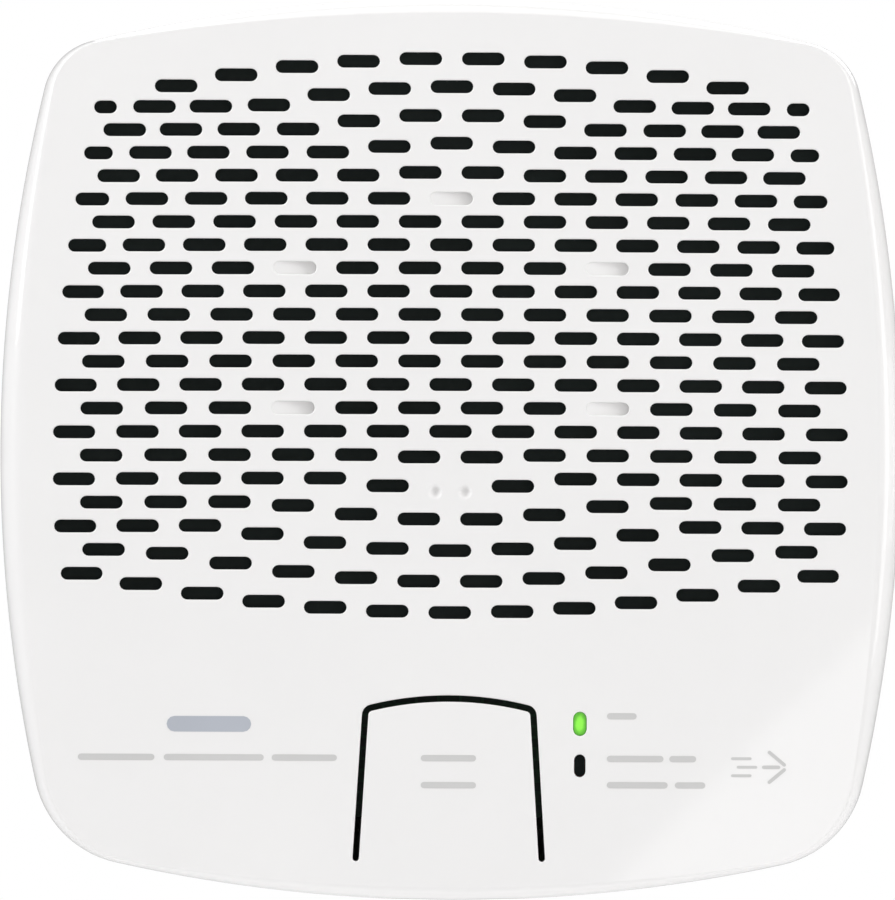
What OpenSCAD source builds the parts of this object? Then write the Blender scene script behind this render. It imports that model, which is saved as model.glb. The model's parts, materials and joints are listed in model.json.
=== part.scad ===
// Carbon monoxide alarm for a wall: a bowed square case with a slotted grille and a flexing
// test button, powered by two AA cells, on a twist-lock mounting plate.
// Each piece is drawn with x to the right, y up the wall and z out of the wall, in millimetres,
// and stand() then turns it so that z is up and the front faces -y.

/* [Case] */
// Width and height over the bowed sides
case_size = 127; // [125:0.5:129]
// Depth from the wall to the front face
case_depth = 38; // [37.5:0.5:40]
// Radius of the bowed sides
side_radius = 218; // [205:1:235]
// Radius of the two upper corners
upper_corner = 9; // [8.5:0.5:11]
// Radius of the two lower corners
lower_corner = 15; // [13:0.5:16]
// Thickness of the cover's side walls
wall = 2.2; // [2:0.1:2.4]
// Thickness of the front face
face = 2; // [1.6:0.1:2.2]
// Depth of the rounded edge round the front face
edge_depth = 5; // [4:0.5:6]
// Width of the rounded edge at the middle of the left and right sides
edge_width = 3.1; // [2.5:0.1:3.4]
// Height of the seam between the rear housing and the cover, from the wall
seam = 8; // [7.5:0.5:9]

/* [Grille] */
// Length of a slot
slot_length = 6; // [5.6:0.1:6.1]
// Width of a slot
slot_width = 1.8; // [1.4:0.1:2]
// Distance between slot columns
column_pitch = 8.82; // [8.7:0.02:8.86]
// Distance between slot rows
row_pitch = 3.28; // [3.2:0.02:3.3]
// Depth of the blind pockets at their deep end
pocket_depth = 1.4; // [0.8:0.1:1.5]
// Thickness of the dark screen behind the grille
screen = 0.6; // [0.4:0.1:0.8]

/* [Test button] */
// Width of the slot that frees the button from the face
button_gap = 0.9; // [0.7:0.1:1]
// Height of the button's root above the centre of the case, which is negative
button_root = -57.5; // [-58:0.1:-57]
// Height of the top of the slot above the centre of the case
button_top = -35; // [-35.4:0.1:-34.6]
// Thickness left at the button's flexing root
hinge_web = 0.8; // [0.6:0.1:1]
// Distance from the root up to the button's post
post_offset = 12.5; // [12:0.5:13.5]

/* [Indicators] */
// Sideways position of the two windows
window_x = 18.4; // [17.8:0.1:19]
// Height of the green window
green_y = -38.5; // [-38.9:0.1:-38.1]
// Height of the red window
red_y = -44.4; // [-44.8:0.1:-44]

/* [Mounting plate] */
// Radius of the mounting plate
plate_radius = 52; // [51:0.5:52.5]
// Thickness of the mounting plate
plate_thickness = 3; // [2.6:0.1:3.1]
// Distance between the two wall screws
screw_spacing = 60; // [56:1:64]
// Half the width of a screw slot
screw_slot_radius = 2.2; // [2:0.1:2.5]
// Length of a screw slot, end to end
screw_slot_length = 9; // [8:0.5:10]
// Angle that the alarm turns to come off its plate
twist_angle = 15; // [14:1:18]

/* [Batteries] */
// Radius of a cell with its sleeve
cell_radius = 7.15; // [7.05:0.05:7.2]
// Distance between the two cells' axes
cell_spacing = 15; // [14.8:0.1:15.4]
// Diameter of the spring wire
wire = 0.8; // [0.6:0.1:0.9]

/* [View] */
// The piece to show, or all of them

/* [Hidden] */
fine = 64;
small = 24;
half = case_size / 2;
grow = case_size / 127;
face_back = case_depth - face;
edge_start = case_depth - edge_depth;
hinge_gap = 0.05;
ink = 0.04;
recess_radius = plate_radius + 1.5;
floor_back = plate_thickness + 0.7;
floor_front = floor_back + 2;
cell_z = floor_back + 1.05 + cell_radius;
cell_y = 11;
well_floor = cell_z + cell_radius + 0.3;
board_back = 24;
board_front = board_back + 1.6;
contact_x = 28.85;
post_y = button_root + post_offset;
plunger_top = board_front + 5.4;
case_screw_points = [[46, 46], [-46, 46], [45.5, -44], [-45.5, -44]];
board_screw_points = [[35, 34], [-35, 34], [36, -47], [-36, -47]];

// Outline of the case

function arc(c, r, a, b, n) =
    [for (i = [0:n - 1]) let (t = a + (b - a) * i / n) c + r * [cos(t), sin(t)]];

// Where two arcs of radii p and q about a and b meet, on the upper right
function meet(a, b, p, q) =
    let (d = norm(b - a))
    let (m = (p * p - q * q + d * d) / (2 * d))
    let (u = (b - a) / d)
    let (h = sqrt(p * p - m * m))
    a + m * u + h * [-u[1], u[0]] * (u[1] > 0 ? -1 : 1);

// A quarter of the outline, from the right-hand middle to the top middle
function quarter(w, h, rs, rt, rc) =
    let (a = [w - rs, 0])
    let (b = [0, h - rt])
    let (f = meet(a, b, rs - rc, rt - rc))
    let (aa = atan2(f[1] - a[1], f[0] - a[0]))
    let (ab = atan2(f[1] - b[1], f[0] - b[0]))
    concat(arc(a, rs, 0, aa, 4), arc(f, rc, aa, ab, 5), arc(b, rt, ab, 90, 4));

function flip_x(points) = [for (i = [len(points) - 1:-1:0]) [-points[i][0], points[i][1]]];
function flip_y(points) = [for (i = [len(points) - 1:-1:0]) [points[i][0], -points[i][1]]];
function tail(points) = [for (i = [1:len(points) - 1]) points[i]];

function outline(w, h, rs, rt, top, bottom) =
    let (up = quarter(w, h, rs, rt, top))
    let (down = quarter(w, h, rs, rt, bottom))
    let (lower = flip_y(tail(down)))
    concat(up, [[0, h]], flip_x(tail(up)), [[-w, 0]],
        [for (p = tail(down)) -p], [[0, -h]], lower);

function case_outline(inset) = outline(half - inset, half - inset, side_radius - inset,
    side_radius - inset, upper_corner - inset, lower_corner - inset);

function face_outline(inset) = outline(half - edge_width - inset, half - 1.9 - inset,
    side_radius + 82, side_radius + 72, upper_corner - 1 - inset, lower_corner - 1 - inset);

function blend_points(a, b, t) = [for (i = [0:len(a) - 1]) a[i] * (1 - t) + b[i] * t];

// Grille slots, each as [left end, right end, height]

function bow(y) = 2.33e-3 * (y + 1) * (y + 1) + 0.1 * max(0, -12 - y);
function edge_x(y) = 56 - bow(y);
function level_row(j, x) = 9.24 + row_pitch * j - 2.5e-3 * (j - 3) * (j - 3) - 1e-4 * x * x;
function crown(m, x) = 55.15 - 3.98 * m - (2.55e-3 + 1.28e-3 * m) * x * x;
function chin(n, x) = -22.9 + 4.36 * n + (2.2e-3 + 0.7e-3 * n) * x * x - (1 + 2 * n) * 1e-7 * pow(x, 4);
function slot_y(j, x) =
    j == 13 ? crown(0, x) :
    j > 7 ? max(level_row(j, x), crown(13 - j, x)) :
    j < -2 ? min(level_row(j, x), chin(8 + j, x)) :
    level_row(j, x);
function is_even(j) = j % 2 == 0;
function squeeze(j, y) = j == 13 ? 2.75 : is_even(j) ? bow(y) : 1.3 * bow(y) - 1.4;
function column_x(k, s) =
    let (x = abs(column_pitch * k))
    sign(k) * (x - 0.6 * pow(x / 52.9, 2.3) * s);
function inner_end(y) = max(edge_x(y) - 5.93, column_x(5, bow(y)) + slot_length / 2 + 2.3);

function slot_at(k, j) =
    let (y = slot_y(j, column_pitch * k))
    let (x = column_x(k, squeeze(j, y)))
    abs(k) < 6 ? [x - slot_length / 2, x + slot_length / 2, y] :
    k > 0 ? [inner_end(y), edge_x(y), y] :
    [-edge_x(y), -inner_end(y), y];

function columns(j) =
    j == 13 ? [for (k = [-4.5:1:4.5]) k] :
    is_even(j) ? [for (k = [-6:1:6]) k] :
    [for (k = [-5.5:1:5.5]) k];

function blind(k, j) = (j == 8 && k == 0) || (abs(k) == 2.5 && (j == 5 || j == -1));
function dimpled(k, j) = k == 0 && j == -4;

slots = [for (j = [-8:13]) for (k = columns(j)) if (!blind(k, j) && !dimpled(k, j)) slot_at(k, j)];
pockets = [for (j = [-8:13]) for (k = columns(j)) if (blind(k, j)) slot_at(k, j)];

function slot_points(s, w, steps) = concat(
    [for (i = [0:steps]) grow * [s[1] - w / 2 + w / 2 * cos(-90 + 180 * i / steps),
        s[2] + w / 2 * sin(-90 + 180 * i / steps)]],
    [for (i = [0:steps]) grow * [s[0] + w / 2 + w / 2 * cos(90 + 180 * i / steps),
        s[2] + w / 2 * sin(90 + 180 * i / steps)]]);

// Outline of the test button, a distance out from the middle of its slot

button_corner = 1.1;
button_arc = 46;
button_foot = [13.1, button_root];
button_shoulder = [11.8, button_top - 1.4];
side_way = (button_shoulder - button_foot) / norm(button_shoulder - button_foot);
side_out = [side_way[1], -side_way[0]];
arc_centre = [0, button_top - button_arc];
corner_base = button_foot - button_corner * side_out - arc_centre;
corner_dot = corner_base * side_way;
corner_run = -corner_dot + sqrt(corner_dot * corner_dot
    - corner_base * corner_base + pow(button_arc - button_corner, 2));
corner_centre = arc_centre + corner_base + corner_run * side_way;
corner_from = atan2(side_out[1], side_out[0]);
corner_to = atan2(corner_centre[1] - arc_centre[1], corner_centre[0] - arc_centre[0]);

function button_half(out) = concat([[button_foot[0] + out / side_out[0], button_root]],
    arc(corner_centre, button_corner + out, corner_from, corner_to, 5),
    arc(arc_centre, button_arc + out, corner_to, 90, 5));
function button_outline(out) = concat(button_half(out), [[0, button_top + out]],
    flip_x(button_half(out)));

// Shared shapes

module stand() {
    rotate([90, 0, 0])
        children();
}

module slab(points, from, to) {
    translate([0, 0, from])
        linear_extrude(height = to - from)
            polygon(points);
}

module rod(r, from, to, at = [0, 0], sides = small) {
    translate([at[0], at[1], from])
        cylinder(r = r, h = to - from, $fn = sides);
}

module block(size, from, to, at = [0, 0]) {
    translate([at[0] - size[0] / 2, at[1] - size[1] / 2, from])
        cube([size[0], size[1], to - from]);
}

module capsule(w, h, from, to, at, steps = 6) {
    cap = [for (i = [0:steps]) [0, h / 2 - w / 2]
        + w / 2 * [cos(180 * i / steps), sin(180 * i / steps)]];
    slab(concat([for (p = cap) at + p], [for (p = cap) at - p]), from, to);
}

// A spring along x from one height to another, whose coils shrink towards its far end
module coil_spring(from, to, r_from, r_to, turns, at) {
    sides = 6;
    steps = 14;
    count = turns * steps;
    ring = [for (i = [0:count]) let (t = i / count)
        let (a = 360 * turns * t)
        let (r = r_from + (r_to - r_from) * t)
        let (x = from + (to - from) * t)
        for (s = [0:sides - 1]) let (b = 360 * s / sides)
            [x + wire / 2 * sin(b),
                at[0] + (r + wire / 2 * cos(b)) * cos(a),
                at[1] + (r + wire / 2 * cos(b)) * sin(a)]];
    walls = [for (i = [0:count - 1]) for (s = [0:sides - 1]) let (n = (s + 1) % sides)
        for (f = [[i * sides + s, (i + 1) * sides + n, i * sides + n],
            [i * sides + s, (i + 1) * sides + s, (i + 1) * sides + n]])
            from < to ? f : [f[0], f[2], f[1]]];
    start = [for (s = [0:sides - 1]) from < to ? s : sides - 1 - s];
    end = [for (s = [0:sides - 1]) count * sides + (from < to ? sides - 1 - s : s)];
    polyhedron(points = ring, faces = concat(walls, [start, end]), convexity = 8);
}

// Wall plate

module plate_hook() {
    rotate([0, 0, -5])
        rotate_extrude(angle = 10, $fn = fine)
            polygon([[44, plate_thickness - 0.5], [46, plate_thickness - 0.5],
                [46, floor_front + 0.6], [49, floor_front + 0.6], [49, floor_front + 1.6],
                [48.4, floor_front + 2.2], [44, floor_front + 2.2]]);
}

// A slot for a wall screw, with a pocket in front that takes the screw's head
module screw_slot(x) {
    reach = screw_slot_length / 2 - screw_slot_radius;
    for (s = [-1, 1]) {
        rod(screw_slot_radius, -1, plate_thickness + 1, [x + s * reach, 0], 32);
        rod(screw_slot_radius + 2.2, 1.4, plate_thickness + 1, [x + s * reach, 0], 32);
    }
    block([2 * reach, 2 * screw_slot_radius], -1, plate_thickness + 1, [x, 0]);
    block([2 * reach, 2 * screw_slot_radius + 4.4], 1.4, plate_thickness + 1, [x, 0]);
}

module mounting_plate() {
    color("#e9e6e0")
    stand()
    difference() {
        union() {
            rod(plate_radius, 0, plate_thickness, sides = fine);
            for (a = [0:90:270])
                rotate([0, 0, a])
                    plate_hook();
        }
        for (a = [0:90:270])
            rotate([0, 0, a - 6.5])
                rotate_extrude(angle = 13, $fn = fine)
                    translate([46.2, -1])
                        square([3.4, plate_thickness + 2]);
        for (s = [-1, 1])
            screw_slot(s * screw_spacing / 2);
        difference() {
            rod(17, plate_thickness - 0.8, plate_thickness + 1, sides = fine);
            rod(9, plate_thickness - 1, plate_thickness + 2, sides = fine);
        }
        for (a = [45:90:315])
            rotate([0, 0, a - 16])
                rotate_extrude(angle = 32, $fn = fine)
                    translate([26, -1])
                        square([9, plate_thickness + 2]);
    }
}

// Case

module hook_track() {
    rotate([0, 0, -twist_angle - 6])
        rotate_extrude(angle = twist_angle + 12, $fn = fine)
            translate([43.7, floor_back - 1])
                square([2.6, 4]);
    rotate([0, 0, -twist_angle - 6])
        rotate_extrude(angle = 12, $fn = fine)
            translate([43.7, floor_back - 1])
                square([5.6, 4]);
}

module rear_housing() {
    color("#e6e3dd")
    stand()
    difference() {
        union() {
            difference() {
                hull() {
                    slab(case_outline(2.4), 0.6, 0.61);
                    slab(case_outline(0.8), seam - 0.01, seam);
                }
                slab(case_outline(wall + 2.4), 2.6, seam + 1);
            }
            difference() {
                slab(case_outline(wall + 0.4), 2, seam + 4);
                slab(case_outline(wall + 2.4), 1.9, seam + 5);
            }
            rod(recess_radius + 2, 0.6, floor_front, sides = fine);
            block([62, 37], floor_back, well_floor + 2, [0, cell_y]);
            for (p = case_screw_points)
                rod(3.6, 2, seam + 4.7, p);
            for (p = board_screw_points)
                rod(3, 2, board_back, p);
        }
        rod(recess_radius, -1, floor_back, sides = fine);
        block([58, 33], -1, well_floor, [0, cell_y]);
        for (a = [0:90:270])
            rotate([0, 0, a])
                hook_track();
        for (p = case_screw_points) {
            rod(1.7, -1, seam + 6, p);
            rod(3, -1, 2.8, p);
        }
        for (p = board_screw_points)
            rod(1, board_back - 9, board_back + 1, p);
        for (s = [-1, 1])
            block([0.8, 3.6], well_floor - 1, well_floor + 3,
                [contact_x - 0.2, cell_y + s * cell_spacing / 2]);
    }
}

module grille_cutter() {
    for (s = slots)
        slab(slot_points(s, slot_width, 3), face_back - 0.5, case_depth + 0.5);
}

module pocket_cutter(s) {
    intersection() {
        slab(slot_points(s, slot_width, 6), case_depth - 2, case_depth + 1);
        translate([0, grow * (s[2] + slot_width), 0])
            rotate([90, 0, 0])
                linear_extrude(height = 2 * slot_width * grow)
                    polygon([[grow * s[0], case_depth], [grow * s[1], case_depth - pocket_depth],
                        [grow * s[1], case_depth + 0.5], [grow * s[0], case_depth + 0.5]]);
    }
}

module case_boss(p) {
    rod(3.4, seam + 5, face_back - 1.4, p);
    translate([p[0] > 0 ? p[0] : p[0] - 12, p[1] - 0.8, seam + 5])
        cube([12, 1.6, face_back - 1.4 - seam - 5]);
    translate([p[0] - 0.8, p[1] > 0 ? p[1] : p[1] - 12, seam + 5])
        cube([1.6, 12, face_back - 1.4 - seam - 5]);
}

module front_cover() {
    color("#f3f1ee")
    stand()
    difference() {
        union() {
            difference() {
                hull() {
                    slab(case_outline(0), seam, edge_start);
                    for (a = [35, 65])
                        slab(blend_points(case_outline(0), face_outline(0), 1 - cos(a)),
                            edge_start + edge_depth * sin(a) - 0.01, edge_start + edge_depth * sin(a));
                    slab(face_outline(0), case_depth - 0.01, case_depth);
                }
                hull() {
                    slab(case_outline(wall), seam - 1, edge_start);
                    slab(face_outline(1.6), face_back - 0.01, face_back);
                }
            }
            intersection() {
                union() {
                    for (p = case_screw_points)
                        case_boss(p);
                }
                slab(case_outline(wall / 2), seam, face_back - 1);
            }
        }
        grille_cutter();
        for (s = pockets)
            pocket_cutter(s);
        for (s = [-1, 1])
            rod(0.65 * grow, case_depth - 0.6, case_depth + 1, [s * 2.1 * grow, -5.9 * grow], 16);
        slab(button_outline(button_gap / 2), face_back - 1, case_depth + 1);
        for (s = [-1, 1])
            rod(button_gap / 2, face_back - 1, case_depth + 1, [s * button_foot[0], button_root], 16);
        capsule(1.9, 3.4, face_back - 1, case_depth + 1, [window_x, green_y]);
        capsule(1.6, 3.2, face_back - 1, case_depth + 1, [window_x, red_y]);
        for (p = case_screw_points)
            rod(1.25, seam + 4, seam + 18, p);
    }
}

module dust_screen() {
    color("#1f2622")
    stand()
    translate([0, 0, face_back - screen])
        linear_extrude(height = screen)
            intersection() {
                polygon(face_outline(2.4));
                translate([-half, -27])
                    square([case_size, case_size]);
            }
}

// Printing: plain round-ended bars in place of words, each as [left end, right end, height]

upper_row = -43.4;
lower_row = -47.1;
word_bars = [
    [-52.3, -41.5, upper_row], [-40.2, -26.1, upper_row], [-25, -15.8, upper_row],
    [22.2, 26.4, -37.4],
    [22.2, 30.2, upper_row], [31, 34.8, upper_row],
    [22.2, 30.8, lower_row], [31.8, 36.1, lower_row]
];
arrow_tip = [47.2, -44.5];
arrow_trails = [[39.7, 42.6, -43.3], [40.5, 43.4, -44.5], [39.7, 42.6, -45.7]];

module bar(b, width) {
    slab(slot_points(b, width, 6), case_depth, case_depth + ink);
}

// A straight stroke with round ends from one point to another
module stroke(from, to, width) {
    way = to - from;
    translate([from[0], from[1], 0])
        rotate([0, 0, atan2(way[1], way[0])])
            bar([-width / 2, norm(way) + width / 2, 0], width);
}

// A plain arrow with three trailing lines stands for the printed sign
module arrow() {
    for (s = [-1, 1])
        stroke(arrow_tip - [2.1, 2.1 * s], arrow_tip - [0, 0.35 * s], 0.5);
    stroke(arrow_tip - [2.9, 0], arrow_tip - [0.8, 0], 0.5);
    for (b = arrow_trails)
        bar(b, 0.4);
}

module face_markings() {
    color("#bdbab5")
    stand() {
        for (b = word_bars)
            bar(b, 0.9);
        arrow();
    }
}

module mark_bar() {
    color("#a9afbb")
    stand()
    bar([-39.8, -27.9, -38.7], 2.2);
}

// Test button

module test_button() {
    color("#f3f1ee")
    stand()
    difference() {
        union() {
            slab(button_outline(-button_gap / 2), face_back, case_depth);
            rod(1.5, plunger_top + 0.05, face_back + 0.5, [0, post_y]);
            for (a = [0, 90])
                translate([0, post_y, face_back - 1.2])
                    rotate([0, 0, a])
                        translate([-2.4, -0.4, 0])
                            cube([4.8, 0.8, 1.6]);
        }
        block([30, 2.4], face_back - 1, case_depth - hinge_web, [0, button_root]);
        block([30, 2], face_back - 1, case_depth + 1, [0, button_root - 1 + hinge_gap]);
    }
}

module button_markings() {
    color("#bdbab5")
    stand()
    for (y = [-43.4, -47.2])
        bar([-4, 3.8, y], 0.9);
}

// Screws

module screw(p, head_from, head_to, tip, head_r, shank_r) {
    low = min(head_from, head_to);
    high = max(head_from, head_to);
    outside = head_to > head_from ? high : low;
    difference() {
        union() {
            rod(head_r, low, high, p);
            rod(shank_r, min(tip, head_from), max(tip, head_from), p, 16);
        }
        for (a = [0, 90])
            translate([p[0], p[1], outside])
                rotate([0, 0, a])
                    cube([head_r * 1.2, 0.6, 1.6], center = true);
    }
}

module case_screws() {
    color("#b9bcc0")
    stand()
    for (p = case_screw_points)
        screw(p, 2.8, 0.9, seam + 16, 2.8, 1.25);
}

module board_screws() {
    color("#b9bcc0")
    stand()
    for (p = board_screw_points)
        screw(p, board_front, board_front + 1.8, board_back - 8, 2.6, 1);
}

// Circuit board and what stands on it

module circuit_board() {
    color("#2f6b45")
    stand()
    difference() {
        block([82, 90], board_back, board_front, [0, -7]);
        for (p = board_screw_points)
            rod(1.3, board_back - 1, board_front + 1, p);
    }
}

sensor_at = [-28, -12];
sounder_at = [0, 14];

module co_sensor_can() {
    color("#c9ccd0")
    stand()
    translate([sensor_at[0], sensor_at[1], board_front + 1])
        rotate_extrude($fn = 48)
            polygon([[0, 0], [10, 0], [10, 6.4], [9.4, 7], [7.6, 7], [7.6, 6.2], [0, 6.2]]);
}

module co_sensor_cap() {
    color("#33373b")
    stand()
    difference() {
        rod(7.4, board_front + 7.2, board_front + 8.2, sensor_at, 48);
        for (a = [0:60:300])
            rod(0.6, board_front + 7, board_front + 9,
                sensor_at + 3.6 * [cos(a), sin(a)], 16);
        rod(0.6, board_front + 7, board_front + 9, sensor_at, 16);
    }
}

module co_sensor_pins() {
    color("#d8c07a")
    stand()
    for (a = [30, 150, 270])
        rod(0.6, board_front, board_front + 1, sensor_at + 6.5 * [cos(a), sin(a)], 16);
}

module sounder_housing() {
    color("#26292c")
    stand()
    translate([sounder_at[0], sounder_at[1], board_front])
        rotate_extrude($fn = fine)
            polygon([[20.6, 0], [22, 0], [22, 7.6], [21.4, 8.2], [5, 8.2], [5, 6.6], [20.6, 6.6]]);
}

module sounder_ring() {
    color("#4a4e52")
    stand()
    translate([sounder_at[0], sounder_at[1], board_front])
        rotate_extrude($fn = fine)
            polygon([[16.4, 0], [20.4, 0], [20.4, 4.4], [18.6, 4.4], [18.6, 3.2], [16.4, 3.2]]);
}

module piezo_disc() {
    color("#c79a3f")
    stand()
    rod(18.4, board_front + 3.2, board_front + 3.5, sounder_at, fine);
}

module piezo_ceramic() {
    color("#e8e2cf")
    stand()
    rod(12.5, board_front + 3.5, board_front + 3.8, sounder_at, 48);
}

module piezo_contacts() {
    color("#cfd3d6")
    stand()
    for (x = [-9, 9])
        translate([sounder_at[0] + x, sounder_at[1] + 2, board_front])
            rotate([90, 0, 0])
                linear_extrude(height = 2)
                    polygon([[-2.5, 0], [0, 0], [2.5, 3.2], [1.9, 3.2], [-0.3, 0.4], [-2.5, 0.4]]);
}

switch_at = [0, post_y];

module switch_body() {
    color("#2a2c2e")
    stand()
    difference() {
        block([6, 6], board_front, board_front + 3.2, switch_at);
        rod(2.2, board_front + 0.6, board_front + 4, switch_at, 32);
    }
}

module switch_cover() {
    color("#c3c6c9")
    stand()
    difference() {
        block([6, 6], board_front + 3.2, board_front + 3.6, switch_at);
        rod(1.8, board_front + 3, board_front + 4, switch_at, 32);
    }
}

module switch_plunger() {
    color("#1d1f21")
    stand() {
        rod(1.7, board_front + 2.8, plunger_top, switch_at, 32);
        rod(2, board_front + 1.8, board_front + 2.8, switch_at, 32);
    }
}

module led(at) {
    rod(1.9, board_front, board_front + 0.9, at);
    rod(1.5, board_front + 0.9, board_front + 3.4, at);
    intersection() {
        translate([at[0], at[1], board_front + 3.4])
            sphere(r = 1.5, $fn = small);
        rod(2, board_front + 3.4, board_front + 6, at);
    }
}

module green_led() {
    color("#7fe06a")
    stand()
    led([window_x, green_y]);
}

module red_led() {
    color("#b3322c")
    stand()
    led([window_x, red_y]);
}

module green_light_pipe() {
    color("#9df35c")
    stand()
    capsule(1.7, 3.2, board_front + 5.2, case_depth - 0.8, [window_x, green_y]);
}

module red_light_pipe() {
    color("#3a2020")
    stand()
    capsule(1.4, 3, board_front + 5.2, case_depth - 0.8, [window_x, red_y]);
}

chip_at = [-4, -20];

module microcontroller() {
    color("#24262a")
    stand()
    difference() {
        block([9, 9], board_front + 0.2, board_front + 1.6, chip_at);
        rod(0.5, board_front + 1.4, board_front + 2, chip_at + [-3.4, 3.4], 16);
    }
}

module microcontroller_leads() {
    color("#c9ccd0")
    stand()
    for (a = [0:90:270])
        for (i = [-2.5:1:2.5])
            translate([chip_at[0], chip_at[1], 0])
                rotate([0, 0, a])
                    block([1.2, 0.5], board_front, board_front + 0.5, [5.1, i * 1.3]);
}

module crystal() {
    color("#cdd0d3")
    stand()
    translate([-26, -36, 0])
        rotate([0, 0, 90])
            capsule(4, 10, board_front, board_front + 3.5, [0, 0]);
}

module capacitor() {
    color("#34507e")
    stand()
    rod(4, board_front + 1, board_front + 8.4, [30, -14], 32);
}

module capacitor_base() {
    color("#1c1e20")
    stand()
    block([8.4, 8.4], board_front, board_front + 1, [30, -14]);
}

module coil_core() {
    color("#3b3e42")
    stand()
    translate([30, -27, board_front])
        rotate_extrude($fn = 32)
            polygon([[0, 0], [4.2, 0], [4.2, 1], [2, 1], [2, 5], [4.2, 5], [4.2, 6], [0, 6]]);
}

module coil_winding() {
    color("#b5642f")
    stand()
    translate([30, -27, board_front])
        rotate_extrude($fn = 32)
            polygon([[2, 1], [3.8, 1], [3.8, 5], [2, 5]]);
}

module chip_resistors() {
    color("#303236")
    stand()
    for (p = [[-34, -30], [-34, -34], [-34, -38], [-22, -44], [-16, -44], [10, -30], [14, -30],
        [24, -38.7], [24, -44.6], [10, -24]])
        block([2, 1.2], board_front, board_front + 0.6, p);
}

// Batteries

module cell(side, y) {
    translate([0, y, cell_z])
        rotate([0, 90, 0]) {
            translate([0, 0, side > 0 ? -22 : -27.15])
                cylinder(r = cell_radius - 0.15, h = 49.15, $fn = 48);
            translate([0, 0, side > 0 ? 27.15 : -contact_x + 0.4])
                cylinder(r = 2.7, h = contact_x - 0.4 - 27.15, $fn = small);
        }
}

module battery_upper() {
    color("#c4c6c8")
    stand()
    cell(1, cell_y + cell_spacing / 2);
}

module battery_lower() {
    color("#c4c6c8")
    stand()
    cell(-1, cell_y - cell_spacing / 2);
}

module battery_sleeves() {
    color("#39618f")
    stand()
    for (s = [-1, 1])
        translate([s > 0 ? -21.5 : -26.65, cell_y + s * cell_spacing / 2, cell_z])
            rotate([0, 90, 0])
                difference() {
                    cylinder(r = cell_radius, h = 48.15, $fn = 48);
                    translate([0, 0, -1])
                        cylinder(r = cell_radius - 0.15, h = 51, $fn = 48);
                }
}

module right_contact(y) {
    block([0.4, 12], 5.5, 18, [contact_x - 0.2, y]);
    block([0.4, 3], 17.9, board_back, [contact_x - 0.2, y]);
}

module positive_contact() {
    color("#cfd2d4")
    stand()
    right_contact(cell_y + cell_spacing / 2);
}

module negative_contact() {
    color("#cfd2d4")
    stand()
    right_contact(cell_y - cell_spacing / 2);
}

module link_contact() {
    color("#cfd2d4")
    stand()
    block([0.4, cell_spacing + 12], 5.5, 18, [-contact_x + 0.2, cell_y]);
}

module negative_spring() {
    color("#b8bbbe")
    stand()
    coil_spring(contact_x - 0.4 - wire / 2, 22 + wire / 2, 5, 3, 4, [cell_y - cell_spacing / 2, cell_z]);
}

module link_spring() {
    color("#b8bbbe")
    stand()
    coil_spring(-contact_x + 0.4 + wire / 2, -22 - wire / 2, 5, 3, 4, [cell_y + cell_spacing / 2, cell_z]);
}

mounting_plate();
rear_housing();
front_cover();
dust_screen();
face_markings();
mark_bar();
test_button();
button_markings();
case_screws();
circuit_board();
board_screws();
co_sensor_can();
co_sensor_cap();
co_sensor_pins();
sounder_housing();
sounder_ring();
piezo_disc();
piezo_ceramic();
piezo_contacts();
switch_body();
switch_cover();
switch_plunger();
green_led();
red_led();
green_light_pipe();
red_light_pipe();
microcontroller();
microcontroller_leads();
crystal();
capacitor();
capacitor_base();
coil_core();
coil_winding();
chip_resistors();
battery_upper();
battery_lower();
battery_sleeves();
positive_contact();
negative_contact();
link_contact();
negative_spring();
link_spring();
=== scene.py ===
"""Wall alarm for carbon monoxide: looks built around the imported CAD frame."""

import json
import math

import bmesh
import bpy
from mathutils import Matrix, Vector
from mathutils.geometry import delaunay_2d_cdt


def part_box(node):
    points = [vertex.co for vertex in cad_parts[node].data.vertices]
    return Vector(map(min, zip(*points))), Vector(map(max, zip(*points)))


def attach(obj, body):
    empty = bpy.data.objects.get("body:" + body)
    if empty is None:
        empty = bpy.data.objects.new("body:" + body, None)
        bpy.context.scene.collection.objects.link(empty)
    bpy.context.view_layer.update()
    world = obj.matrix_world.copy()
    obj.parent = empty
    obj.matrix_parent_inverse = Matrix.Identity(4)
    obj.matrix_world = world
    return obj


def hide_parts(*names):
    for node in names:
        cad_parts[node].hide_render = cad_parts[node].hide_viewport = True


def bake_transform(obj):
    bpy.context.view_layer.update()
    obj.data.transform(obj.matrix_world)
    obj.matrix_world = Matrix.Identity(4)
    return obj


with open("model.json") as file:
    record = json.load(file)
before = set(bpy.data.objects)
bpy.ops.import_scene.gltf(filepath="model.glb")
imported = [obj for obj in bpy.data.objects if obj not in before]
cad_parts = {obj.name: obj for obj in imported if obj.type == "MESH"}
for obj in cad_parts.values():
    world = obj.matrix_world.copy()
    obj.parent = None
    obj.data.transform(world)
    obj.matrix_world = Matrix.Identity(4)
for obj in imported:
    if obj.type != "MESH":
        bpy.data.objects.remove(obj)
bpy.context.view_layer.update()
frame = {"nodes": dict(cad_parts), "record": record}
nodes = frame["nodes"]
scene = bpy.context.scene

# Sizes in millimetres, x to the right, y up the wall and z out of the wall, as in the CAD.

cover_low, cover_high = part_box("front_cover")
HALF = (cover_high.x - cover_low.x) * 500
DEPTH = -cover_low.y * 1000
SEAM = -cover_high.y * 1000
FACE = 2.0
BACK = DEPTH - FACE
WALL = 2.2
EDGE = 5.0
BOW, TOP_CORNER, LOW_CORNER = 218.0, 9.0, 15.0
# The rounded edge's width at the sides and at the top, and how much flatter the face's own bow is
EDGE_SIDE, EDGE_TOP, FLATTER_SIDE, FLATTER_TOP = 3.1, 1.9, 82, 72
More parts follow.
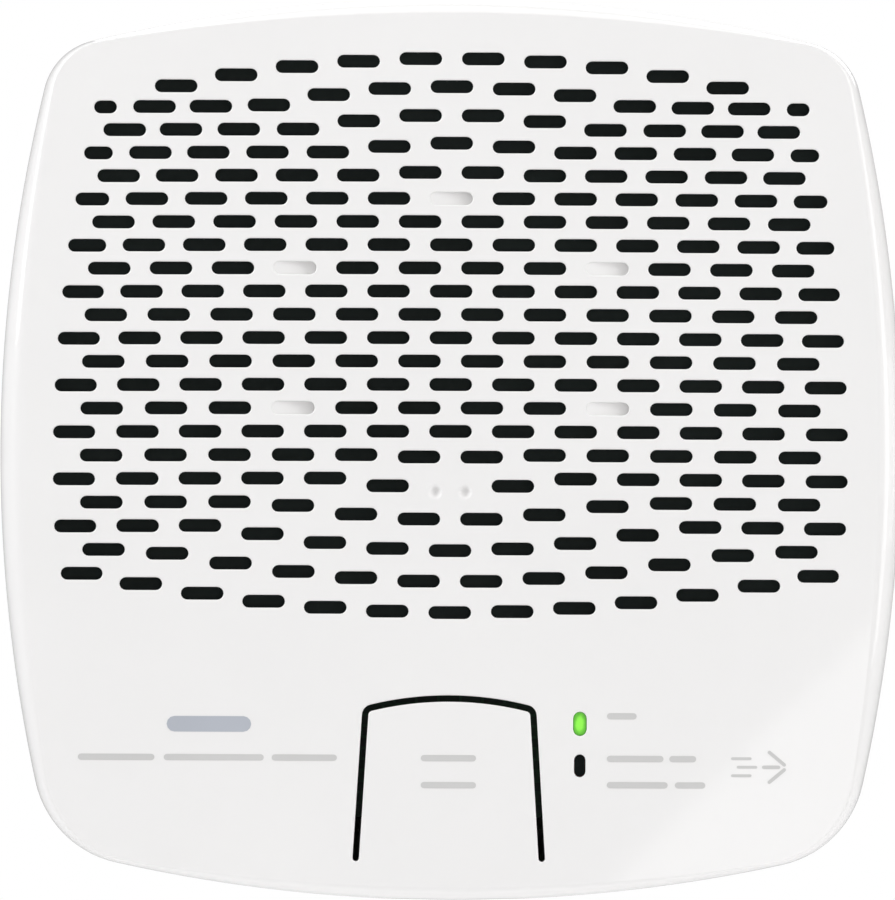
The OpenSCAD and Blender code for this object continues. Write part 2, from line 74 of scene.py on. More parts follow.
# Rounding of the holes' edges
RIM = 0.26
WINDOW_X, GREEN_Y, RED_Y = 18.4, -38.5, -44.4
GREEN_SIZE, RED_SIZE = (1.9, 3.4), (1.6, 3.2)
WINDOW_RIM = 0.2
DIMPLE_X, DIMPLE_Y = 2.1, -5.9
DIMPLE = [(1.15, 0), (1.0, 0.02), (0.85, 0.09), (0.72, 0.25), (0.56, 0.47), (0.3, 0.58), (0.02, 0.6)]
POCKET_DEPTH, POCKET_RIM = 1.4, 0.2
BOSSES = ((46, 46), (-46, 46), (45.5, -44), (-45.5, -44))
BOSS_R, BOSS_HOLE, BOSS_START, BOSS_SHORT = 3.4, 1.3, 5, 1.4
RIB_LONG, RIB_WIDE, RIB_MIDDLE = 8, 1.6, 6


def at(x, y, z):
    """A point in the CAD's lying-down millimetres as a point in the row frame."""
    return Vector((x, -z, y)) * 0.001


# Outline of the case, as points with outward normals


def quarter(w, h, rs, rt, rc, steps):
    """Right-hand middle to top middle: side arc of radius rs, corner rc and top arc rt."""
    a, b = Vector((w - rs, 0)), Vector((0, h - rt))
    p, q, d = rs - rc, rt - rc, (b - a).length
    m = (p * p - q * q + d * d) / (2 * d)
    u = (b - a) / d
    f = a + m * u + math.sqrt(p * p - m * m) * Vector((-u.y, u.x))
    aa = math.atan2(f.y - a.y, f.x - a.x)
    ab = math.atan2(f.y - b.y, f.x - b.x)
    out = []
    for c, r, s, e, n in (
        (a, rs, 0, aa, steps[0]),
        (f, rc, aa, ab, steps[1]),
        (b, rt, ab, math.pi / 2, steps[2]),
    ):
        for i in range(n):
            t = s + (e - s) * i / n
            out.append(c + r * Vector((math.cos(t), math.sin(t))))
    return out


def outline(w, h, rs, rt, top, low, steps=(18, 14, 18)):
    up = quarter(w, h, rs, rt, top, steps)
    down = quarter(w, h, rs, rt, low, steps)
    pts = up + [Vector((0, h))]
    pts += [Vector((-p.x, p.y)) for p in reversed(up[1:])] + [Vector((-w, 0))]
    pts += [-p for p in down[1:]] + [Vector((0, -h))]
    pts += [Vector((p.x, -p.y)) for p in reversed(down[1:])]
    return pts


def case_outline(inset):
    half, bow_radius = HALF - inset, BOW - inset
    return outline(half, half, bow_radius, bow_radius, TOP_CORNER - inset, LOW_CORNER - inset)


def face_outline(inset):
    half_width, half_height = HALF - EDGE_SIDE - inset, HALF - EDGE_TOP - inset
    top, low = TOP_CORNER - 1 - inset, LOW_CORNER - 1 - inset
    return outline(half_width, half_height, BOW + FLATTER_SIDE, BOW + FLATTER_TOP, top, low)


# Grille slots, each as left end, right end and height

COLUMN, ROW, LENGTH, WIDTH = 8.82, 3.28, 6.0, 1.8


def bow(y):
    return 2.33e-3 * (y + 1) ** 2 + 0.1 * max(0.0, -12 - y)


def border(y):
    return 56.0 - bow(y)


def slot_height(j, x):
    """Rows are level in the middle and follow the case's curve above and below."""
    level = 9.24 + ROW * j - 2.5e-3 * (j - 3) ** 2 - 1e-4 * x * x
    m, n = 13 - j, 8 + j
    crown = 55.15 - 3.98 * m - (2.55e-3 + 1.28e-3 * m) * x * x
    chin = -22.9 + 4.36 * n + (2.2e-3 + 0.7e-3 * n) * x * x - (1 + 2 * n) * 1e-7 * x**4
    if j == 13:
        return crown
    if j > 7:
        return max(level, crown)
    if j < -2:
        return min(level, chin)
    return level


def squeeze(j, y):
    if j == 13:
        return 2.75
    return bow(y) if j % 2 == 0 else 1.3 * bow(y) - 1.4


def column_x(k, s):
    x = abs(COLUMN * k)
    return math.copysign(x - 0.6 * (x / 52.9) ** 2.3 * s, k) if k else 0.0


def grille():
    """Through slots and blind pockets, row by row from the bottom."""
    slots, pockets = [], []
    for j in range(-8, 14):
        even = j % 2 == 0
        if j == 13:
            ks = [k + 0.5 for k in range(-5, 5)]
        elif even:
            ks = list(range(-6, 7))
        else:
            ks = [k + 0.5 for k in range(-6, 6)]
        for k in ks:
            y = slot_height(j, COLUMN * k)
            x = column_x(k, squeeze(j, y))
            if abs(k) == 6:
                outer = border(y)
                inner = max(outer - 5.93, column_x(5, bow(y)) + LENGTH / 2 + 2.3)
                s = (inner, outer, y) if k > 0 else (-outer, -inner, y)
            else:
                s = (x - LENGTH / 2, x + LENGTH / 2, y)
            if (j == 8 and k == 0) or (abs(k) == 2.5 and j in (5, -1)):
                pockets.append(s)
            elif not (k == 0 and j == -4):
                slots.append(s)
    return slots, pockets


def capsule(cx, cy, w, h, grow=0.0, steps=8):
    """Round-ended outline w wide and h high, anticlockwise, grown outwards."""
    pts = []
    if w > h:
        r, reach = h / 2 + grow, (w - h) / 2
        ends = [(cx + reach, cy, -90), (cx - reach, cy, 90)]
    else:
        r, reach = w / 2 + grow, (h - w) / 2
        ends = [(cx, cy + reach, 0), (cx, cy - reach, 180)]
    for ex, ey, start in ends:
        for i in range(steps + 1):
            t = math.radians(start + 180 * i / steps)
            pts.append(Vector((ex + r * math.cos(t), ey + r * math.sin(t))))
    return pts


# The test button's outline, a distance out from the middle of its slot, which is 2 GAP wide

ROOT_Y, TOP_Y, GAP = -57.5, -35.0, 0.45
POST_Y, POST_R = ROOT_Y + 12.5, 1.5
# Height over which the tongue's root bends
BEND = 2.4
FOOT, SHOULDER = Vector((13.1, ROOT_Y)), Vector((11.8, TOP_Y - 1.4))
CORNER_R, ARC_R = 1.1, 46.0
way = (SHOULDER - FOOT).normalized()
side = Vector((way.y, -way.x))
arc_mid = Vector((0, TOP_Y - ARC_R))
base = FOOT - CORNER_R * side - arc_mid
dot = base.dot(way)
run = -dot + math.sqrt(dot * dot - base.dot(base) + (ARC_R - CORNER_R) ** 2)
corner_mid = arc_mid + base + run * way
turn_from = math.atan2(side.y, side.x)
turn_to = math.atan2(corner_mid.y - arc_mid.y, corner_mid.x - arc_mid.x)


def button_path(out):
    """From the right foot over the top to the left foot."""
    steps = [BEND * i / 6 for i in range(1, 7)] + [BEND + 1.2 * i for i in range(1, 16)]
    half = [FOOT + out * side + way * s for s in steps]
    half = [FOOT + Vector((out / side.x, 0))] + [p for p in half if p.y < corner_mid.y - 0.4]
    for i in range(9):
        t = turn_from + (turn_to - turn_from) * i / 8
        half.append(corner_mid + (CORNER_R + out) * Vector((math.cos(t), math.sin(t))))
    for i in range(1, 10):
        t = turn_to + (math.pi / 2 - turn_to) * i / 10
        half.append(arc_mid + (ARC_R + out) * Vector((math.cos(t), math.sin(t))))
    return half + [Vector((0, TOP_Y + out))] + [Vector((-p.x, p.y)) for p in reversed(half)]


def opening_path(out):
    """The case side of the button's slot, with its round ends, from root to root."""
    path = button_path(GAP + out)
    cap = []
    for i in range(9):
        t = math.radians(-180 + 180 * i / 8)
        cap.append(FOOT + (GAP + out) * Vector((math.cos(t), math.sin(t))))
    start = cap + path[1:-1]
    return start + [Vector((-p.x, p.y)) for p in reversed(cap)]


def angles(sides):
    return [2 * math.pi * i / sides for i in range(sides)]


class Build:
    """Collects vertices with exact normals, and faces, for one mesh."""

    def __init__(self):
        self.points, self.normals, self.faces = [], [], []

    def add(self, x, y, z, normal):
        self.points.append(at(x, y, z))
        n = Vector((normal[0], -normal[2], normal[1]))
        self.normals.append(n.normalized())
        return len(self.points) - 1

    def strip(self, a, b, closed=True):
        n = len(a)
        for i in range(n if closed else n - 1):
            k = (i + 1) % n
            self.faces.append((a[i], a[k], b[k], b[i]))

    def fill(self, loops, holes, z, up):
        """Flat face at height z bounded by loops of points, less the holes."""
        verts, faces = [], []
        for loop in loops + holes:
            faces.append(list(range(len(verts), len(verts) + len(loop))))
            verts += [Vector((p[0], p[1])) for p in loop]
        got, _, tris, _, _, origin = delaunay_2d_cdt(verts, [], faces, 1, 1e-6)
        ids = [self.add(v.x, v.y, z, (0, 0, up)) for v in got]
        for t, o in zip(tris, origin):
            if any(i >= len(loops) for i in o):
                continue
            a, b, c = (got[i] for i in t)
            ccw = (b - a).cross(c - a) > 0
            t = list(t) if ccw == (up > 0) else list(reversed(t))
            self.faces.append(tuple(ids[i] for i in t))

    def rim(self, shape, top, bottom, closed=True, radius=RIM, inward=False, steps=4):
        """Rounded edge and wall of a hole (or of an island, inward). shape(out) gives the
        outline grown by out. Returns the outline where the flat face meets the rounding."""
        sign = -1 if inward else 1
        rings = []
        for i in range(steps + 1):
            t = math.pi / 2 * i / steps
            pts = shape(sign * radius * (1 - math.sin(t)))
            far = shape(sign * radius * (1 - math.sin(t)) + 0.5)
            ring = []
            for p, q in zip(pts, far):
                o = (q - p).normalized()
                n = Vector((-sign * o.x * math.sin(t), -sign * o.y * math.sin(t), math.cos(t)))
                ring.append(self.add(p.x, p.y, top - radius * (1 - math.cos(t)), n))
            rings.append(ring)
        pts, far = shape(0), shape(0.5)
        ring = []
        for p, q in zip(pts, far):
            o = (q - p).normalized()
            ring.append(self.add(p.x, p.y, bottom, (-sign * o.x, -sign * o.y, 0)))
        rings.append(ring)
        for a, b in zip(rings, rings[1:]):
            if inward:
                self.strip(b, a, closed)
            else:
                self.strip(a, b, closed)
        if not closed:
            self.end_wall([(r[0], r[-1]) for r in rings], -1 if inward else 1)
        return shape(sign * radius)

    def end_wall(self, pairs, facing):
        """Flat wall across the open end of a rim, which faces up or down the wall."""
        copies = []
        for pair in pairs:
            for i in pair:
                self.points.append(self.points[i].copy())
                self.normals.append(Vector((0, 0, facing)))
            copies.append((len(self.points) - 2, len(self.points) - 1))
        for (a, b), (c, d) in zip(copies, copies[1:]):
            self.faces.append((a, c, d, b) if facing < 0 else (b, d, c, a))

    def loft(self, rings, flip=False):
        """Closed rings of (x, y, z), with normals from their neighbours."""
        count, n = len(rings), len(rings[0])
        ids = []
        for r, ring in enumerate(rings):
            before, after = rings[max(r - 1, 0)], rings[min(r + 1, count - 1)]
            row = []
            for i in range(n):
                along = Vector(ring[(i + 1) % n]) - Vector(ring[i - 1])
                across = Vector(after[i]) - Vector(before[i])
                normal = along.cross(across)
                if flip:
                    normal = -normal
                row.append(self.add(*ring[i], normal))
            ids.append(row)
        for a, b in zip(ids, ids[1:]):
            if flip:
                self.strip(b, a)
            else:
                self.strip(a, b)
        return ids

    def lathe(self, cx, cy, profile, sides=32):
        """Turned shape from (radius, z) pairs, outermost first."""
        round_points = [(math.cos(a), math.sin(a)) for a in angles(sides)]
        return self.loft([[(cx + r * c, cy + r * s, z) for c, s in round_points] for r, z in profile])

    def block(self, cx, cy, w, h, low, high):
        x0, x1, y0, y1 = cx - w / 2, cx + w / 2, cy - h / 2, cy + h / 2
        sides = [
            ((x0, y0), (x1, y0), (0, -1, 0)),
            ((x1, y0), (x1, y1), (1, 0, 0)),
            ((x1, y1), (x0, y1), (0, 1, 0)),
            ((x0, y1), (x0, y0), (-1, 0, 0)),
        ]
        for a, b, n in sides:
            corners = ((*a, low), (*b, low), (*b, high), (*a, high))
            self.faces.append(tuple(self.add(*c, n) for c in corners))
        for z, up in ((high, 1), (low, -1)):
            ring = [(x0, y0), (x1, y0), (x1, y1), (x0, y1)]
            ids = [self.add(x, y, z, (0, 0, up)) for x, y in (ring if up > 0 else reversed(ring))]
            self.faces.append(tuple(ids))

    def object(self, name):
        mesh = bpy.data.meshes.new(name)
        mesh.from_pydata([tuple(p) for p in self.points], [], self.faces)
        mesh.validate(clean_customdata=False)
        mesh.polygons.foreach_set("use_smooth", [True] * len(mesh.polygons))
        mesh.normals_split_custom_set_from_vertices([tuple(n) for n in self.normals])
        mesh.update()
        obj = bpy.data.objects.new(name, mesh)
        scene.collection.objects.link(obj)
        return obj


# Front cover


def ring_at(points, z):
    return [(p.x, p.y, z) for p in points]


def mix_points(a, b, t):
    return [p * (1 - t) + q * t for p, q in zip(a, b)]


def make_cover():
    m = Build()
    outer, face = case_outline(0), face_outline(0)
    rings = [ring_at(case_outline(0.5), SEAM), ring_at(case_outline(0.15), SEAM + 0.1)]
    rings += [ring_at(outer, z) for z in (SEAM + 0.5, SEAM + 1, SEAM + 12, DEPTH - EDGE - 1)]
    steps = 10
    for i in range(steps + 1):
        t = math.pi / 2 * i / steps
        points = mix_points(outer, face, 1 - math.cos(t))
        rings.append(ring_at(points, DEPTH - EDGE * (1 - math.sin(t))))
    m.loft(rings)
    slots, pockets = grille()
    holes, back_holes = [], []
    for x0, x1, y in slots:

        def shape(out, x0=x0, x1=x1, y=y):
            return capsule((x0 + x1) / 2, y, x1 - x0, WIDTH, out)

        holes.append(m.rim(shape, DEPTH, BACK))
        back_holes.append(shape(0))
    for cy, (w, h) in ((GREEN_Y, GREEN_SIZE), (RED_Y, RED_SIZE)):

        def shape(out, cy=cy, w=w, h=h):
            return capsule(WINDOW_X, cy, w, h, out)

        holes.append(m.rim(shape, DEPTH, BACK, radius=WINDOW_RIM))
        back_holes.append(shape(0))
    holes.append(m.rim(opening_path, DEPTH, BACK, closed=False))
    back_holes.append(opening_path(0))
    for x0, x1, y in pockets:
        holes.append(add_pocket(m, x0, x1, y))
    for x in (-DIMPLE_X, DIMPLE_X):
        m.lathe(x, DIMPLE_Y, [(r, DEPTH - z) for r, z in DIMPLE], 20)
        lip = DIMPLE[0][0]
        holes.append([Vector((x + lip * math.cos(a), DIMPLE_Y + lip * math.sin(a))) for a in angles(20)])
    m.fill([face], holes, DEPTH, 1)
    inside = face_outline(1.6)
    m.fill([inside], back_holes, BACK, -1)
    inner = case_outline(WALL)
    inner_rings = [ring_at(inner, z) for z in (SEAM, SEAM + 12, DEPTH - EDGE)]
    m.loft(inner_rings + [ring_at(inside, BACK)], flip=True)
    bottom = [m.add(p.x, p.y, SEAM, (0, 0, -1)) for p in case_outline(0.5)]
    bottom_in = [m.add(p.x, p.y, SEAM, (0, 0, -1)) for p in inner]
    m.strip(bottom_in, bottom)
    low, top = SEAM + BOSS_START, BACK - BOSS_SHORT
    for x, y in BOSSES:
        m.lathe(x, y, [(BOSS_HOLE, low), (BOSS_R, low), (BOSS_R, top), (0.01, top)], 24)
        m.block(x + math.copysign(RIB_MIDDLE, x), y, RIB_LONG, RIB_WIDE, low, top)
        m.block(x, y + math.copysign(RIB_MIDDLE, y), RIB_WIDE, RIB_LONG, low, top)
    return m.object("front_cover_shell")


def add_pocket(m, x0, x1, y):
    """A blind slot whose floor slopes from flush at its left end down to its right end."""

    def depth(x):
        return POCKET_DEPTH * min(max((x - x0) / (x1 - x0), 0.0), 1.0)

    def shape(out):
        return capsule((x0 + x1) / 2, y, x1 - x0, WIDTH, out)

    rings = []
    steps = 3
    for i in range(steps + 1):
        t = math.pi / 2 * i / steps
        ring = []
        out = POCKET_RIM * (1 - math.sin(t))
        for p, q in zip(shape(out), shape(out + 0.5)):
            o = (q - p).normalized()
            drop = min(POCKET_RIM * (1 - math.cos(t)), depth(p.x))
            normal = (-o.x * math.sin(t), -o.y * math.sin(t), math.cos(t) + 0.01)
            ring.append(m.add(p.x, p.y, DEPTH - drop, normal))
        rings.append(ring)
    ring, floor = [], []
    slope = Vector((POCKET_DEPTH, 0, x1 - x0)).normalized()
    for p, q in zip(shape(0), shape(0.5)):
        o = (q - p).normalized()
        z = DEPTH - depth(p.x)
        ring.append(m.add(p.x, p.y, z, (-o.x, -o.y, 0)))
        floor.append(m.add(p.x, p.y, z, slope))
    rings.append(ring)
    for a, b in zip(rings, rings[1:]):
        m.strip(a, b)
    m.faces.append(tuple(floor))
    return shape(POCKET_RIM)


def make_button():
    """The tongue with its rounded edge, and the post behind it."""
    m = Build()

    def shape(out):
        return button_path(-GAP + out)

    top = m.rim(shape, DEPTH, BACK, closed=False, inward=True)
    m.fill([top], [], DEPTH, 1)
    m.fill([shape(0)], [], BACK, -1)
    low = -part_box("test_button")[1].y * 1000
    m.lathe(0, POST_Y, [(0.01, low), (POST_R - 0.1, low), (POST_R, low + 0.1), (POST_R, BACK)])
    rib_long, rib_wide, rib_high = 4.8, 0.8, 1.2
    m.block(0, POST_Y, rib_long, rib_wide, BACK - rib_high, BACK)
    m.block(0, POST_Y, rib_wide, rib_long, BACK - rib_high, BACK)
    return m.object("test_button_tongue")


def rounded(node, name, width, depth, segments=2):
    """The node's own shape, with its sharp edges rounded down to a depth from the wall."""
    mesh = nodes[node].data.copy()
    mesh.name = name
    bm = bmesh.new()
    bm.from_mesh(mesh)
    bmesh.ops.remove_doubles(bm, verts=bm.verts, dist=2e-6)
    bmesh.ops.dissolve_limit(bm, angle_limit=math.radians(0.5), verts=bm.verts, edges=bm.edges)
    weight = bm.edges.layers.float.new("bevel_weight_edge")
    for e in bm.edges:
        sharp = e.is_manifold and e.calc_face_angle(0) > math.radians(30)
        if sharp and e.calc_length() > 0.0003 and all(v.co.y > -depth * 0.001 for v in e.verts):
            e[weight] = 1.0
    bm.to_mesh(mesh)
    bm.free()
    mesh.polygons.foreach_set("use_smooth", [True] * len(mesh.polygons))
    piece = bpy.data.objects.new(name, mesh)
    scene.collection.objects.link(piece)
    bevel = piece.modifiers.new("rounding", "BEVEL")
    bevel.width = width * 0.001
    bevel.segments = segments
    bevel.limit_method = "WEIGHT"
    bevel.use_clamp_overlap = True
    bevel.harden_normals = True
    evaluated = piece.evaluated_get(bpy.context.evaluated_depsgraph_get())
    piece.data = bpy.data.meshes.new_from_object(evaluated)
    # The mesh now holds the rounding
    piece.modifiers.clear()
    return piece


cover = make_cover()
button = make_button()
housing = rounded("rear_housing", "rear_housing_shell", 0.25, 6.2)
plate = rounded("mounting_plate", "mounting_plate_disc", 0.25, 9)
made = (
    (cover, "front_cover", "cover_plastic", "alarm"),
    (button, "test_button", "cover_plastic", None),
    (housing, "rear_housing", "rear_plastic", "alarm"),
    (plate, "mounting_plate", "plate_plastic", "wall_plate"),
)
for piece, node, slot, body in made:
    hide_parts(node)
    if body:
        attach(piece, body)


# Materials


def new_material(name):
    mat = bpy.data.materials.new(name)
    mat.use_nodes = True
    tree = mat.node_tree
    tree.nodes.clear()
    out = tree.nodes.new("ShaderNodeOutputMaterial")
    shader = tree.nodes.new("ShaderNodeBsdfPrincipled")
    tree.links.new(shader.outputs["BSDF"], out.inputs["Surface"])
    coords = tree.nodes.new("ShaderNodeTexCoord")
    return mat, tree, shader, coords.outputs["Object"]


def noise(tree, coord, scale, detail=2.0, rough=0.5):
    n = tree.nodes.new("ShaderNodeTexNoise")
    n.inputs["Scale"].default_value = scale
    n.inputs["Detail"].default_value = detail
    n.inputs["Roughness"].default_value = rough
    tree.links.new(coord, n.inputs["Vector"])
    return n.outputs["Fac"]


def ramp(tree, fac, stops):
    r = tree.nodes.new("ShaderNodeValToRGB")
    while len(r.color_ramp.elements) < len(stops):
        r.color_ramp.elements.new(0.5)
    for e, (p, c) in zip(r.color_ramp.elements, stops):
        e.position = p
        e.color = (*c, 1) if len(c) == 3 else c
    tree.links.new(fac, r.inputs["Fac"])
    return r.outputs["Color"]


def spread(tree, fac, low, high):
    m = tree.nodes.new("ShaderNodeMapRange")
    m.inputs["From Min"].default_value = 0.3
    m.inputs["From Max"].default_value = 0.7
    m.inputs["To Min"].default_value = low
    m.inputs["To Max"].default_value = high
    tree.links.new(fac, m.inputs["Value"])
    return m.outputs["Result"]


def bump(tree, shader, height, strength, distance, edge=None):
    b = tree.nodes.new("ShaderNodeBump")
    b.inputs["Strength"].default_value = strength
    b.inputs["Distance"].default_value = distance
    tree.links.new(height, b.inputs["Height"])
    if edge:
        r = tree.nodes.new("ShaderNodeBevel")
        r.samples = 4
        r.inputs["Radius"].default_value = edge
        tree.links.new(r.outputs["Normal"], b.inputs["Normal"])
    tree.links.new(b.outputs["Normal"], shader.inputs["Normal"])


def shade(c, k):
    return tuple(min(max(v * k, 0.0), 1.0) for v in c)


def plastic(name, color, rough=0.45, vary=0.02, grain=2600, depth=0.000012, specular=0.5, coat=0.0):
    """Moulded plastic: a faint cloudiness in colour and gloss over a fine spark-eroded grain."""
    mat, tree, shader, coord = new_material(name)
    cloud = noise(tree, coord, 35, 3)
    fine = noise(tree, coord, grain, 3, 0.6)
    tint = ramp(tree, cloud, [(0.3, shade(color, 1 - vary)), (0.7, shade(color, 1 + vary))])
    tree.links.new(tint, shader.inputs["Base Color"])
    gloss = spread(tree, noise(tree, coord, 320, 2), rough - 0.04, rough + 0.04)
    tree.links.new(gloss, shader.inputs["Roughness"])
    shader.inputs["Specular IOR Level"].default_value = specular
    shader.inputs["Coat Weight"].default_value = coat
    shader.inputs["Coat Roughness"].default_value = 0.03
    bump(tree, shader, fine, 0.35, depth)
    return mat


def metal(name, color, rough=0.3, stretch=(1, 1, 12), scale=900, edge=None):
    """Metal with fine drawn lines along one direction and uneven polish."""
    mat, tree, shader, coord = new_material(name)
    mapping = tree.nodes.new("ShaderNodeMapping")
    mapping.inputs["Scale"].default_value = stretch
    tree.links.new(coord, mapping.inputs["Vector"])
    lines = noise(tree, mapping.outputs["Vector"], scale, 4, 0.7)
    patch = noise(tree, coord, 120, 2)
    tint = ramp(tree, patch, [(0.3, shade(color, 0.9)), (0.7, shade(color, 1.06))])
    tree.links.new(tint, shader.inputs["Base Color"])
    shader.inputs["Metallic"].default_value = 1.0
    tree.links.new(spread(tree, lines, rough - 0.08, rough + 0.1), shader.inputs["Roughness"])
    bump(tree, shader, lines, 0.2, 0.00001, edge)
    return mat


def glow(name, deep, bright, strength, reach):
    """Lit piece behind the green window: bright in the middle, deeper a reach away from it."""
    mat, tree, shader, coord = new_material(name)
    middle, squash = (WINDOW_X * 0.001, 0, GREEN_Y * 0.001), (1, 0, 0.55)
    away = tree.nodes.new("ShaderNodeMapping")
    away.inputs["Location"].default_value = [-v / reach * k for v, k in zip(middle, squash)]
    away.inputs["Scale"].default_value = [k / reach for k in squash]
    tree.links.new(coord, away.inputs["Vector"])
    span = tree.nodes.new("ShaderNodeVectorMath")
    span.operation = "LENGTH"
    tree.links.new(away.outputs["Vector"], span.inputs[0])
    ring = tree.nodes.new("ShaderNodeMath")
    ring.operation = "MULTIPLY_ADD"
    ring.inputs[1].default_value = 0.35
    tree.links.new(noise(tree, coord, 900, 2), ring.inputs[0])
    tree.links.new(span.outputs["Value"], ring.inputs[2])
    color = ramp(tree, ring.outputs["Value"], [(0.55, bright), (0.95, deep)])
    tree.links.new(color, shader.inputs["Base Color"])
    tree.links.new(color, shader.inputs["Emission Color"])
    shader.inputs["Emission Strength"].default_value = strength
    shader.inputs["Roughness"].default_value = 0.3
    bump(tree, shader, noise(tree, coord, 3000, 2), 0.2, 0.00001)
    return mat


def board(name):
    """Solder mask over faint copper tracks."""
    mat, tree, shader, coord = new_material(name)
    tracks = tree.nodes.new("ShaderNodeTexBrick")
    tracks.inputs["Scale"].default_value = 160
    tracks.inputs["Mortar Size"].default_value = 0.035
    tracks.inputs["Color1"].default_value = (0.006, 0.05, 0.022, 1)
    tracks.inputs["Color2"].default_value = (0.008, 0.065, 0.028, 1)
    tracks.inputs["Mortar"].default_value = (0.016, 0.1, 0.04, 1)
    turn = tree.nodes.new("ShaderNodeMapping")
    turn.inputs["Rotation"].default_value = (math.pi / 2, 0, 0)
    tree.links.new(coord, turn.inputs["Vector"])
    tree.links.new(turn.outputs["Vector"], tracks.inputs["Vector"])
    tree.links.new(tracks.outputs["Color"], shader.inputs["Base Color"])
    shader.inputs["Roughness"].default_value = 0.35
    bump(tree, shader, tracks.outputs["Fac"], 0.4, 0.00003)
    return mat


white = (0.875, 0.866, 0.862)
finishes = {
    "cover_plastic": plastic("cover_plastic_moulded", white, 0.38, 0.008, specular=0.25, coat=1.0),
    "rear_plastic": plastic("rear_plastic_moulded", (0.78, 0.772, 0.76), 0.5, 0.02),
    "plate_plastic": plastic("plate_plastic_moulded", (0.72, 0.712, 0.695), 0.55, 0.025),
    # Near-black sheet behind the grille: painted shade that gives the slots their uniform dark look
    "screen_black": plastic(
        "screen_painted_slot_shade", (0.0105, 0.0145, 0.0135), 0.8, 0.2, 1800, 0.00003, specular=0.15
    ),
    "ink_grey": plastic("ink_grey_print", (0.6, 0.595, 0.59), 0.6, 0.05),
    "mark_grey": plastic("mark_grey_print", (0.45, 0.475, 0.53), 0.6, 0.05),
    "screw_steel": metal("screw_steel_plated", (0.6, 0.6, 0.62), 0.32, edge=0.00015),
    "board_green": board("board_mask"),
    "sensor_metal": metal("sensor_can_metal", (0.66, 0.67, 0.69), 0.28),
    "sensor_cap": plastic("sensor_cap_moulded", (0.03, 0.032, 0.035), 0.55, 0.1),
    "pin_gold": metal("pin_gold_plate", (0.83, 0.62, 0.28), 0.22),
    "sounder_black": plastic("sounder_moulded", (0.02, 0.022, 0.024), 0.5, 0.1),
    "sounder_grey": plastic("sounder_ring_moulded", (0.1, 0.11, 0.12), 0.5, 0.08),
    "disc_brass": metal("disc_brass_sheet", (0.78, 0.56, 0.24), 0.3),
    "ceramic": plastic("ceramic_layer", (0.7, 0.66, 0.54), 0.7, 0.05),
    "tinned_metal": metal("tinned_strip", (0.68, 0.69, 0.7), 0.3),
    "switch_black": plastic("switch_moulded", (0.02, 0.02, 0.022), 0.45, 0.1),
    "led_green": glow("led_green_lit", (0.1, 0.5, 0.05), (0.3, 1.0, 0.12), 0.15, 0.002),
    "led_red": plastic("led_red_lens", (0.3, 0.02, 0.015), 0.2, 0.05),
    "pipe_green": glow("pipe_green_lit", (0.1, 0.42, 0.03), (0.24, 0.76, 0.065), 0.5, 0.001),
    "pipe_red": plastic("pipe_red_dark", (0.003, 0.005, 0.005), 0.25, 0.1, specular=0.08),
    "chip_black": plastic("chip_moulded", (0.015, 0.015, 0.018), 0.6, 0.1),
    "capacitor_blue": metal("capacitor_sleeve", (0.05, 0.1, 0.3), 0.4),
    "ferrite": plastic("ferrite_body", (0.05, 0.05, 0.055), 0.7, 0.15),
    "copper_wire": metal("copper_winding", (0.7, 0.26, 0.1), 0.35, (1, 30, 1), 400),
    "cell_metal": metal("cell_steel", (0.62, 0.63, 0.64), 0.3),
    "cell_sleeve": plastic("cell_sleeve_film", (0.03, 0.1, 0.24), 0.25, 0.05),
    "spring_steel": metal("spring_wire", (0.6, 0.61, 0.62), 0.25),
}
for part in frame["record"]["subparts"]:
    obj = nodes[part["node"]]
    mat = finishes[part["material_slot"]]
    if not obj.material_slots:
        obj.data.materials.append(mat)
    for s in obj.material_slots:
        s.material = mat
for piece, _, slot, _ in made:
    piece.data.materials.clear()
    piece.data.materials.append(finishes[slot])

root = at(0, ROOT_Y, DEPTH)
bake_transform(button)


# Floor, lights and camera

FLOOR, REACH = -0.2, 3.0
mesh = bpy.data.meshes.new("floor")
corners = [(x * REACH, y * REACH, FLOOR) for x, y in ((-1, -1), (1, -1), (1, 1), (-1, 1))]
mesh.from_pydata(corners, [], [(0, 1, 2, 3)])
floor = bpy.data.objects.new("floor", mesh)
scene.collection.objects.link(floor)
mesh.materials.append(plastic("floor_pale", (0.86, 0.86, 0.86), 0.7, 0.01, 60, 0.0001))

world = bpy.data.worlds.new("studio")
scene.world = world
world.use_nodes = True
wt = world.node_tree
wt.nodes.clear()
w_out = wt.nodes.new("ShaderNodeOutputWorld")
w_mix = wt.nodes.new("ShaderNodeMixShader")
w_light = wt.nodes.new("ShaderNodeBackground")
w_seen = wt.nodes.new("ShaderNodeBackground")
w_path = wt.nodes.new("ShaderNodeLightPath")
w_light.inputs["Color"].default_value = (1, 1, 1, 1)
w_light.inputs["Strength"].default_value = 0.48
w_seen.inputs["Color"].default_value = (1, 1, 1, 1)
w_seen.inputs["Strength"].default_value = 1.0
wt.links.new(w_path.outputs["Is Camera Ray"], w_mix.inputs["Fac"])
wt.links.new(w_light.outputs["Background"], w_mix.inputs[1])
wt.links.new(w_seen.outputs["Background"], w_mix.inputs[2])
wt.links.new(w_mix.outputs["Shader"], w_out.inputs["Surface"])


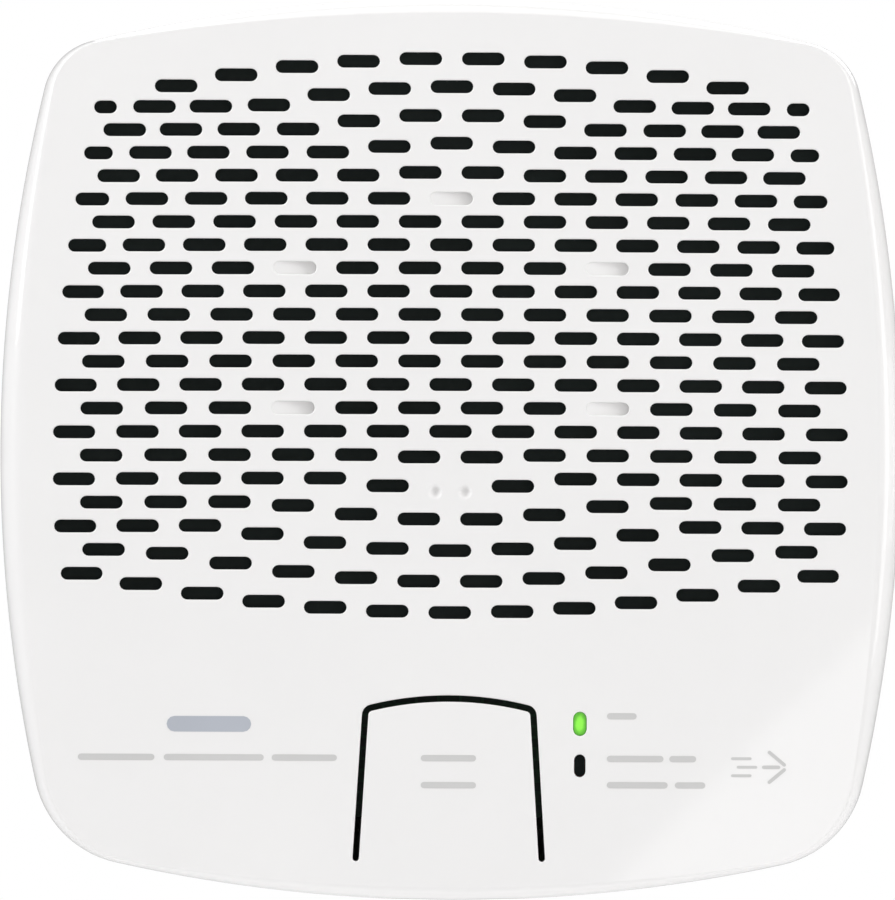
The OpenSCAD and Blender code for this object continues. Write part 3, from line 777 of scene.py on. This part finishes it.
def area(name, place, aim, size, power, color=(1, 1, 1)):
    light = bpy.data.lights.new(name, "AREA")
    light.shape = "RECTANGLE"
    light.size, light.size_y = size
    light.energy = power
    light.color = color
    obj = bpy.data.objects.new(name, light)
    obj.location = place
    obj.rotation_euler = (Vector(aim) - Vector(place)).to_track_quat("-Z", "Y").to_euler()
    obj.visible_camera = False
    scene.collection.objects.link(obj)
    return obj


area("key_right", (0.8, -0.75, 0.4), (0, 0, 0), (0.9, 0.9), 1.6, (1.0, 0.995, 0.985))
area("near_left", (-0.55, -0.25, 0.28), (0, 0, 0), (0.3, 0.5), 1.9, (0.985, 0.99, 1.0))
area("near_right", (0.55, -0.28, 0.15), (0, 0, 0), (0.3, 0.5), 1.0)
area("near_top", (-0.1, -0.35, 0.5), (0, 0, 0.03), (0.7, 0.4), 0.8)
area("low_strip", (0, -0.09, -0.185), (0, -0.03, -0.06), (0.6, 0.08), 0.035)
# Strips level with the case, which reach its rounded edge and sides but not its face
area("edge_top", (0, -0.02, 0.36), (0, -0.03, 0.06), (0.3, 0.06), 0.2)
area("edge_right", (0.36, -0.02, 0), (0.06, -0.03, 0), (0.3, 0.06), 0.04)
area("edge_low", (0, -0.022, -0.185), (0, -0.03, -0.06), (0.3, 0.03), 0.03)
area("back_soft", (0.3, 1.0, 0.6), (0, 0, 0), (1.0, 0.8), 3.0)

# A card whose upper left edge shows as a soft diagonal in the gloss at the lower right of the face
CARD_WIDE, CARD_LONG, CARD_NEAR, CARD_AWAY = 0.12, 0.3, 1.2, 0.087
card = area("card_low_right", (0, -CARD_NEAR, 0), (0, 0, 0), (CARD_WIDE, CARD_LONG), 0.17)
reach = (CARD_AWAY + CARD_WIDE / 2) / math.sqrt(2)
card.location = (reach, -CARD_NEAR, -reach)
card.rotation_euler = (math.pi / 2, math.radians(45), 0)

cam_data = bpy.data.cameras.new("camera")
cam_data.sensor_width = 36
DISTANCE = 2.5
cam_data.lens = 36 * DISTANCE / 0.127
cam_data.clip_start, cam_data.clip_end = 0.05, 50
cam = bpy.data.objects.new("camera", cam_data)
scene.collection.objects.link(cam)
cam.location = (-0.00041, -DISTANCE - (DEPTH - EDGE) * 0.001, 0)
cam.rotation_euler = (math.pi / 2, math.radians(-0.24), 0)
scene.camera = cam
scene.view_settings.view_transform = "Standard"
scene.view_settings.look = "None"
